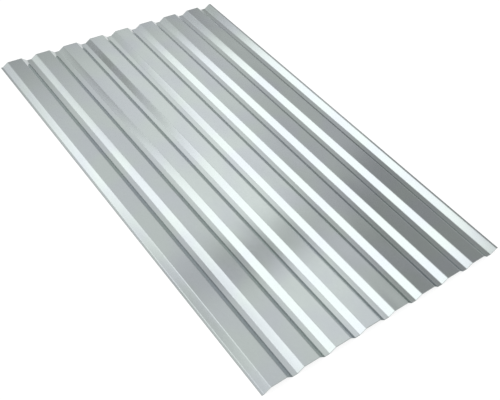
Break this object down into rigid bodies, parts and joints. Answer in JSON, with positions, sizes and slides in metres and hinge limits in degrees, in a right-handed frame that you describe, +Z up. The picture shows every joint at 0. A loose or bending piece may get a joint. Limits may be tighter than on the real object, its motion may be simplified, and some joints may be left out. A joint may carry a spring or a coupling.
{
  "type": "trapezoidal corrugated metal sheet",
  "caption": "Galvanised steel sheet with trapezoidal ribs: wide flat crests and narrow valleys, for roofing, cladding and fencing.",
  "frame": {"origin": "under the middle of the sheet's outline, on the plane that its valleys rest on", "axes": "+Y along the ribs, +X across them from the low lip to the high lip, +Z up out of the crests"},
  "size_m": [1.143, 2, 0.0197],
  "materials": {
    "galvanised_steel": "bright galvanised zinc, satin and slightly cloudy, with fine rolling lines along the ribs"
  },
  "bodies": {
    "root": {"corrugated_sheet": "galvanised_steel"}
  },
  "joints": []
}
